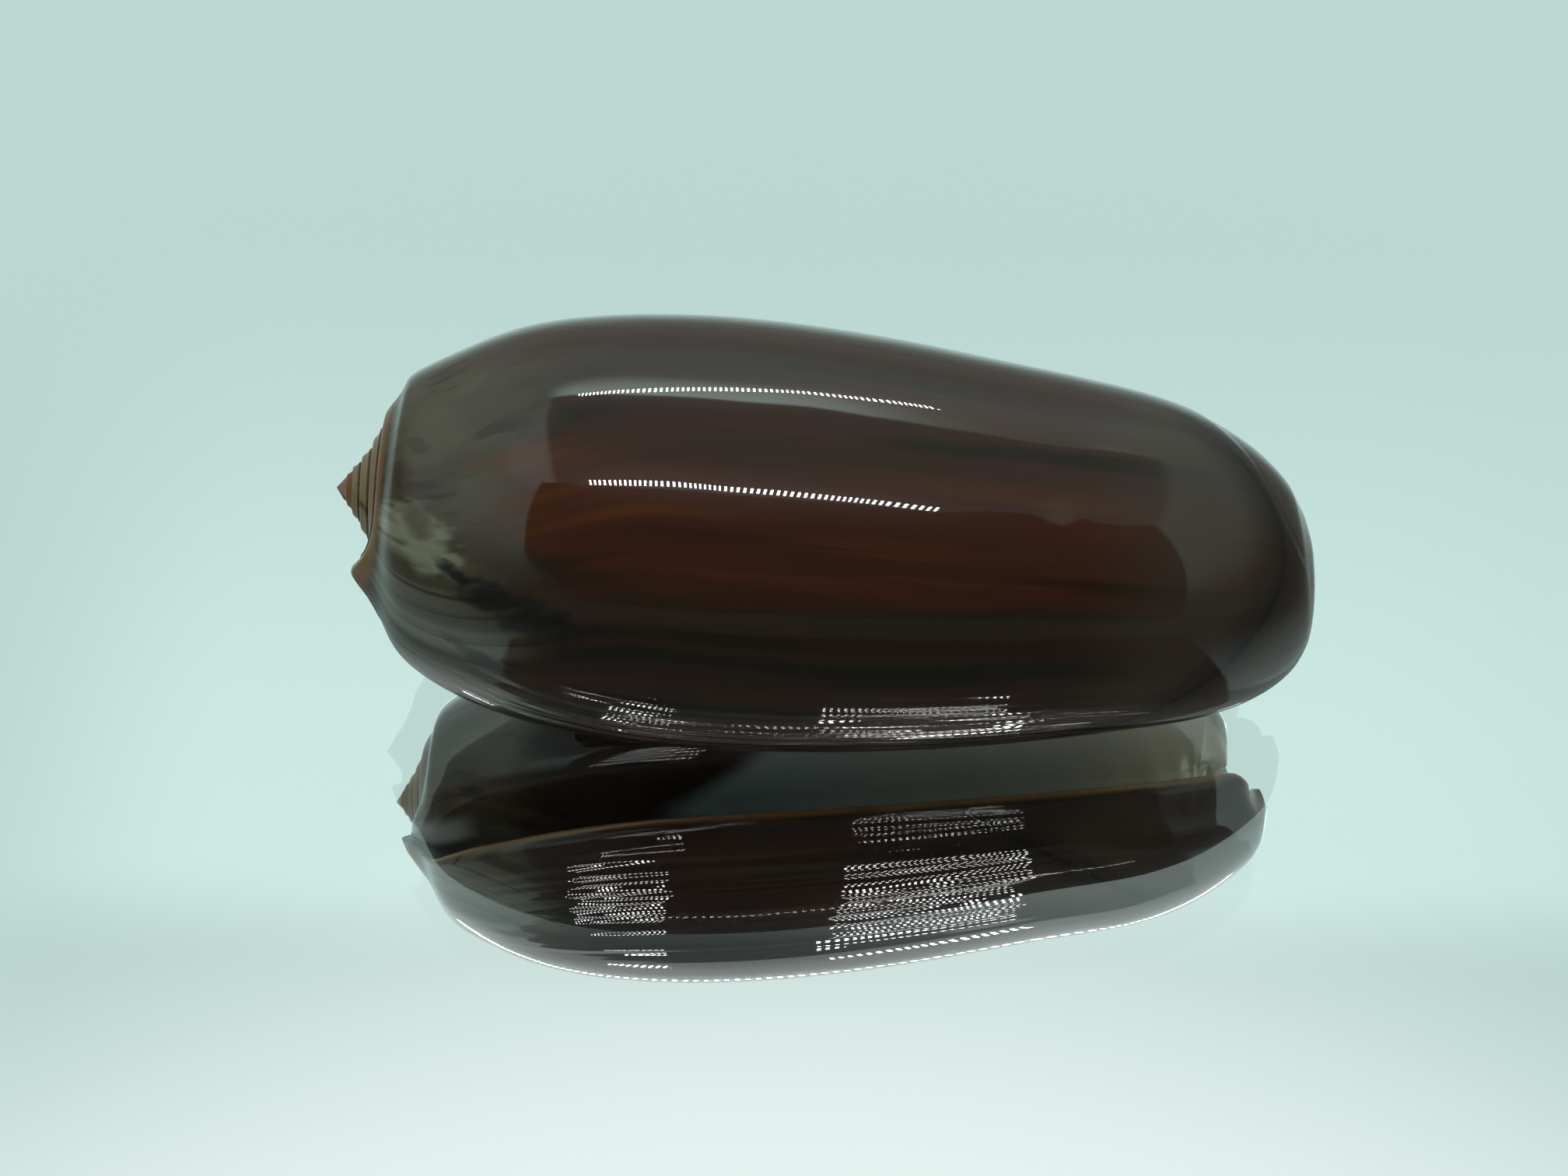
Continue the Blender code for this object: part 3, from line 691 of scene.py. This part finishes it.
# Under the glaze the shell is duller where growth lines crowd. The rim and the spire have lost most glaze.
dullness = add_node("Math MULTIPLY_ADD", fine, 0.20, 0.22)
tree.links.new(surface.inputs["Roughness"], dullness.outputs[0])
glaze = add_node("MapRange SMOOTHSTEP", station, 2.8, 5.2, 0.20, 1.0)
tree.links.new(surface.inputs["Coat Weight"], glaze.outputs[0])
shell_mesh.materials.append(enamel)

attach(shell, "root")
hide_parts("shell")

# ---- The floor ---------------------------------------------------------------------------------------------
# A plain pale plate under the shell, of glass with a silvered back, which mirrors the shell and the light.
# The glass surface and the silver each give their own reflection, a plate's thickness apart.
PLATE_SIDE = 1600.0
PLATE_THICKNESS = 3.6

plate_mesh = bpy.data.meshes.new("floor")
plate = bmesh.new()
bmesh.ops.create_cube(plate, size=1.0)
for vertex in plate.verts:
    across, deep, high = vertex.co
    vertex.co = Vector((across * PLATE_SIDE, deep * PLATE_SIDE, (high - 0.5) * PLATE_THICKNESS)) * MM
for face in plate.faces:
    face.material_index = 1 if face.normal.z < -0.5 else 0
plate.to_mesh(plate_mesh)
plate.free()

# Float glass, polished: it gives the eye a clear body and a second, fainter reflection at its surface.
# Silver, laid on the back of the glass: it gives a bright reflection with no haze.
for name, shader, *inputs in (
    ("polished_float_glass", "BsdfGlass", "#FFFFFF", 0.0, 1.5),
    ("silvered_glass_back", "BsdfAnisotropic", "#FAFBFB", 0.0),
):
    finish = bpy.data.materials.new(name)
    finish.use_nodes = True
    tree = finish.node_tree
    tree.nodes.clear()
    add_node("OutputMaterial", add_node(shader, *inputs))
    plate_mesh.materials.append(finish)
floor = bpy.data.objects.new("floor", plate_mesh)
bpy.context.scene.collection.objects.link(floor)

# ---- The light tent ----------------------------------------------------------------------------------------
# A tent of pale cloth all round, brightest overhead, with a greyer panel in its roof and an opening in front
# that shows the dim room. The floor shows only the plain cloth, and the shell reflects the rest.
# Directions here are unit vectors, and a slope is how far to a side a direction leads per unit of height.
TENT_LOW = "#C1DBD6"
TENT_HIGH = "#F2FFFC"
FOOT = "#5F6865"  # the tent's foot, which gets less light
FOOT_BACK = "#8B9794"  # and at the back, where it gets more
RIGHT_SIDE = "#5E5C55"
OVERHEAD = "#3E4442"  # what the shell's underside sees of the roof by way of the floor
PANEL = "#879692"
PANEL_SIDES = (-0.31, 0.56)
PANEL_ENDS = (-0.37, 0.60)
PANEL_SOFT = 0.05
DIM = "#4A4B47"
SILL = "#646A60"  # what closes the opening at its foot
SILL_HEIGHT = 0.10
OPENING_LEFT = (0.26, 0.45)  # how far aside the opening reaches, per unit of height and per unit forward
OPENING_RIGHT = (0.42, 0.58)
OPENING_ROOF = 0.40
ROOF_FALL_LEFT = 0.16
ROOF_FALL_RIGHT = 1.07
ROOF_FALL_FROM = 0.49
SHARP = 0.03  # how soft the opening's edges are
GLOW = 3.4  # how much brighter the roof is beside the back row of lamps

world = bpy.data.worlds.new("light_tent")
bpy.context.scene.world = world
world.use_nodes = True
tree = world.node_tree
background = tree.nodes["Background"]
direction = add_node("SeparateXYZ", add_node("TexCoord").outputs["Generated"])
to_right, to_back, to_top = direction.outputs
rising = add_node("Math ABSOLUTE", to_top)
forward = add_node("Math MULTIPLY", to_back, -1.0)
sideways = add_node("Math DIVIDE", to_right, add_node("Math MAXIMUM", rising, 0.01))
endways = add_node("Math DIVIDE", to_back, add_node("Math MAXIMUM", rising, 0.01))

# The cloth is seen plain by the camera and straight off the floor, and with all its parts in the shell.
ray = add_node("LightPath")
through_glass = ray.outputs["Is Transmission Ray"]
mirrored_once = add_node("Math LESS_THAN", ray.outputs["Glossy Depth"], 1.5)
off_floor = add_node("Math MULTIPLY", through_glass, mirrored_once)
in_shell = add_node("Math SUBTRACT", 1.0, add_node("Math MAXIMUM", off_floor, ray.outputs["Is Camera Ray"]))
by_floor = add_node("Math MULTIPLY", through_glass, in_shell)
of_mirrored = add_node("Math MULTIPLY", add_node("Math GREATER_THAN", ray.outputs["Transmission Depth"], 0.5),
                       add_node("Math SUBTRACT", 1.0, through_glass))

tent = add_node("Mix RGBA", add_node("MapRange SMOOTHSTEP", rising, 0.815, 0.90), TENT_LOW, TENT_HIGH)
foot = add_node("Mix RGBA", add_node("MapRange SMOOTHSTEP", to_back, 0.0, 0.8), FOOT, FOOT_BACK)
overhead = add_node("Math MULTIPLY", add_node("MapRange SMOOTHSTEP", sideways, 0.52, 0.32),
                    add_node("MapRange SMOOTHSTEP", rising, 0.60, 0.75))
for share, rays, tone in (
    (add_node("MapRange SMOOTHSTEP", rising, 0.60, 0.15), in_shell, foot),
    (add_node("MapRange SMOOTHSTEP", to_right, 0.25, 0.75, 0.0, 0.30), in_shell, RIGHT_SIDE),
    (add_node("Math MULTIPLY", overhead, 0.6), by_floor, OVERHEAD),
):
    tent = add_node("Mix RGBA", add_node("Math MULTIPLY", share, rays), tent, tone)

panel = add_node("Math MULTIPLY_ADD", of_mirrored, -0.8, 1.0)
for slope, start, full in (
    (sideways, PANEL_SIDES[0] - PANEL_SOFT, PANEL_SIDES[0]),
    (sideways, PANEL_SIDES[1] + PANEL_SOFT * 2.0, PANEL_SIDES[1]),
    (endways, PANEL_ENDS[0] - PANEL_SOFT, PANEL_ENDS[0]),
    (endways, PANEL_ENDS[1] + PANEL_SOFT, PANEL_ENDS[1]),
):
    panel = add_node("Math MULTIPLY", panel, add_node("MapRange SMOOTHSTEP", slope, start, full))
tent = add_node("Mix RGBA", add_node("Math MULTIPLY", panel, in_shell), tent, PANEL)

# How far within the opening's right side, left side and roof a direction leads. The roof falls to both sides.
reach = add_node("Math MULTIPLY", rising, OPENING_RIGHT[0])
reach = add_node("Math MULTIPLY_ADD", forward, OPENING_RIGHT[1], reach)
within_right = add_node("Math SUBTRACT", reach, to_right)
reach = add_node("Math MULTIPLY", rising, OPENING_LEFT[0])
reach = add_node("Math MULTIPLY_ADD", forward, OPENING_LEFT[1], reach)
softness = add_node("MapRange SMOOTHSTEP", rising, 0.45, 0.10, SHARP, 0.38)
within_left = add_node("Math DIVIDE", add_node("Math ADD", reach, to_right), softness)
roof_slope = add_node("Math MULTIPLY_ADD", by_floor, -OPENING_ROOF, OPENING_ROOF)
past_fall = add_node("Math SUBTRACT", to_right, add_node("Math MULTIPLY", rising, ROOF_FALL_FROM))
fall = add_node("Math MULTIPLY", add_node("Math MAXIMUM", past_fall, 0.0), -ROOF_FALL_RIGHT)
fall = add_node("Math MULTIPLY_ADD", add_node("Math MINIMUM", to_right, 0.0), ROOF_FALL_LEFT, fall)
roof_line = add_node("Math MAXIMUM", add_node("Math MULTIPLY_ADD", rising, roof_slope, fall), 0.0)
within_roof = add_node("Math SUBTRACT", forward, roof_line)
opening = in_shell
for within, full in ((within_right, SHARP), (within_left, 1.0), (within_roof, SHARP)):
    opening = add_node("Math MULTIPLY", opening, add_node("MapRange SMOOTHSTEP", within, 0.0, full))
sill_share = add_node("MapRange SMOOTHSTEP", rising, SILL_HEIGHT + 0.01, SILL_HEIGHT)
tent = add_node("Mix RGBA", opening, tent, add_node("Mix RGBA", sill_share, DIM, SILL))
tree.links.new(background.inputs["Color"], tent.outputs[OUTLETS["ShaderNodeMix"]])

# The strip of roof between the panel and the back row of lamps is brighter.
glow = add_node("Math MULTIPLY", in_shell, GLOW)
for slope, start, full in (
    (endways, PANEL_ENDS[1], PANEL_ENDS[1] + 0.06), (endways, PANEL_ENDS[1] + 0.45, PANEL_ENDS[1] + 0.06),
    (sideways, -0.40, -0.25), (sideways, 0.60, 0.20),
):
    glow = add_node("Math MULTIPLY", glow, add_node("MapRange SMOOTHSTEP", slope, start, full))
tree.links.new(background.inputs["Strength"], add_node("Math ADD", glow, 1.0).outputs[0])

# ---- The lamps ---------------------------------------------------------------------------------------------
# Rows of small bright lamps hang in the tent's roof, and two low banks of smaller ones stand in front. Each
# is one panel that is lit in small upright strokes. Only glossy things show them. The floor shows none of
# them itself, and those that are for the mirrored shell are lit only there.
ROW_HEIGHT = 70.0
BANK_PLACE = -30.0
STROKE_HALF = 0.2  # half the lit share of a stroke's pitch
ROW_LIT = 0.32  # the lit share of a row's pitch, where a bank has several rows
GAPS = ((0.16, 0.48), (0.84, 1.1))  # the shares of a row that the mirrored shell doesn't show
LAMPS = (
    # Name, middle, tilt and turn, length and width, pitch of strokes, rows, radiance, whether only the
    # mirrored shell shows it, whether it has the gaps, and up to what distance it isn't shown.
    ("lamp_row_back", (5.4, 43.7, ROW_HEIGHT), (0.0, 22.6), (60.0, 3.0), 0.9, 1, 55.0, False, False, 0.0),
    ("lamp_row_front", (6.0, -24.5, ROW_HEIGHT), (0.0, -1.6), (52.0, 3.0), 0.9, 1, 55.0, False, True, 0.0),
    ("lamp_row_low", (6.0, -42.0, ROW_HEIGHT), (0.0, 0.0), (60.0, 3.0), 0.9, 1, 55.0, True, True, 0.0),
    ("lamp_row_edge", (2.0, 6.5, ROW_HEIGHT), (0.0, 4.0), (90.0, 3.0), 0.9, 1, 55.0, True, False, 0.0),
    ("lamp_bank_left", (-16.0, BANK_PLACE, 14.0), (90.0, 0.0), (10.0, 19.0), 0.5, 6, 26.0, True, False, 20.5),
    ("lamp_bank_right", (9.8, BANK_PLACE, 17.5), (90.0, 0.0), (14.0, 26.0), 0.5, 9, 26.0, True, False, 20.5),
)
for name, middle, (tilt, turn), (length, width), pitch, rows, radiance, *conditions in LAMPS:
    only_mirrored, gapped, nearest = conditions
    light = bpy.data.lights.new(name, "AREA")
    light.shape = "RECTANGLE"
    light.size = length * MM
    light.size_y = width * MM
    light.energy = radiance * math.pi * length * width * MM * MM
    light.use_nodes = True
    tree = light.node_tree
    on_panel = add_node("SeparateXYZ", add_node("NewGeometry").outputs["Parametric"])
    lengthwise, widthwise = on_panel.outputs[:2]
    slant = width * math.tan(math.radians(turn)) / pitch  # the strokes stay upright however the row is turned
    strokes = add_node("Math MULTIPLY_ADD", lengthwise, length / pitch, 10.0)
    strokes = add_node("Math MULTIPLY_ADD", widthwise, -slant, strokes)
    off_stroke = add_node("Math ABSOLUTE", add_node("Math SUBTRACT", add_node("Math FRACT", strokes), 0.5))
    lit = add_node("Math LESS_THAN", off_stroke, STROKE_HALF)
    if rows > 1:
        row_share = add_node("Math FRACT", add_node("Math MULTIPLY", widthwise, float(rows)))
        lit = add_node("Math MULTIPLY", lit, add_node("Math LESS_THAN", row_share, ROW_LIT))

    # Seen by way of the floor, it is shown only by the shell, straight or by way of the floor once more.
    ray = add_node("LightPath")
    by_floor = add_node("Math GREATER_THAN", ray.outputs["Transmission Depth"], 0.5)
    by_floor_twice = add_node("Math GREATER_THAN", ray.outputs["Transmission Depth"], 3.5)
    excess = add_node("Math SUBTRACT", ray.outputs["Glossy Depth"], add_node("Math ADD", by_floor_twice, 2.0))
    not_in_shell = add_node("Math GREATER_THAN", add_node("Math ABSOLUTE", excess), 0.5)
    dark = [add_node("Math MULTIPLY", by_floor, not_in_shell)]
    for start, end in GAPS if gapped else ():
        in_gap = add_node("Math MULTIPLY", add_node("Math GREATER_THAN", lengthwise, start),
                          add_node("Math LESS_THAN", lengthwise, end))
        dark.append(add_node("Math MULTIPLY", in_gap, by_floor))
    if only_mirrored:
        dark.append(add_node("Math SUBTRACT", 1.0, by_floor))
    if nearest > 0.0:
        too_near = add_node("Math LESS_THAN", ray.outputs["Ray Length"], nearest * MM)
        dark.append(add_node("Math SUBTRACT", too_near, by_floor_twice))
    for share in dark:
        lit = add_node("Math MULTIPLY", lit, add_node("Math LESS_THAN", share, 0.5))
    tree.links.new(tree.nodes["Emission"].inputs["Strength"], lit.outputs[0])

    lamp = bpy.data.objects.new(name, light)
    lamp.location = Vector(middle) * MM
    lamp.rotation_euler = (math.radians(tilt), 0.0, math.radians(turn))
    lamp.visible_diffuse = False
    lamp.visible_camera = False
    bpy.context.scene.collection.objects.link(lamp)

# ---- The camera --------------------------------------------------------------------------------------------
# It looks down on the shell from in front at the photograph's angle, with the photograph's field of view.
CAMERA_PLACE = (-0.65, -76.74, 98.75)
CAMERA_ELEVATION = 51.0
CAMERA_AZIMUTH = 0.9
IMAGE_WIDTH = 2016.0
FOCAL_LENGTH = 3581.0  # in pixels of the photograph
SENSOR = 36.0

camera_data = bpy.data.cameras.new("camera")
camera_data.sensor_width = SENSOR
camera_data.lens = FOCAL_LENGTH * SENSOR / IMAGE_WIDTH
camera_data.clip_start = 0.005
camera_data.clip_end = 10.0
camera = bpy.data.objects.new("camera", camera_data)
elevation = math.radians(CAMERA_ELEVATION)
azimuth = math.radians(CAMERA_AZIMUTH)
back = Vector((math.sin(azimuth) * math.cos(elevation), -math.cos(azimuth) * math.cos(elevation),
               math.sin(elevation)))
camera.location = Vector(CAMERA_PLACE) * MM
camera.rotation_mode = "QUATERNION"
camera.rotation_quaternion = back.to_track_quat("Z", "Y")
bpy.context.scene.collection.objects.link(camera)
bpy.context.scene.camera = camera
bpy.context.scene.view_settings.view_transform = "Standard"
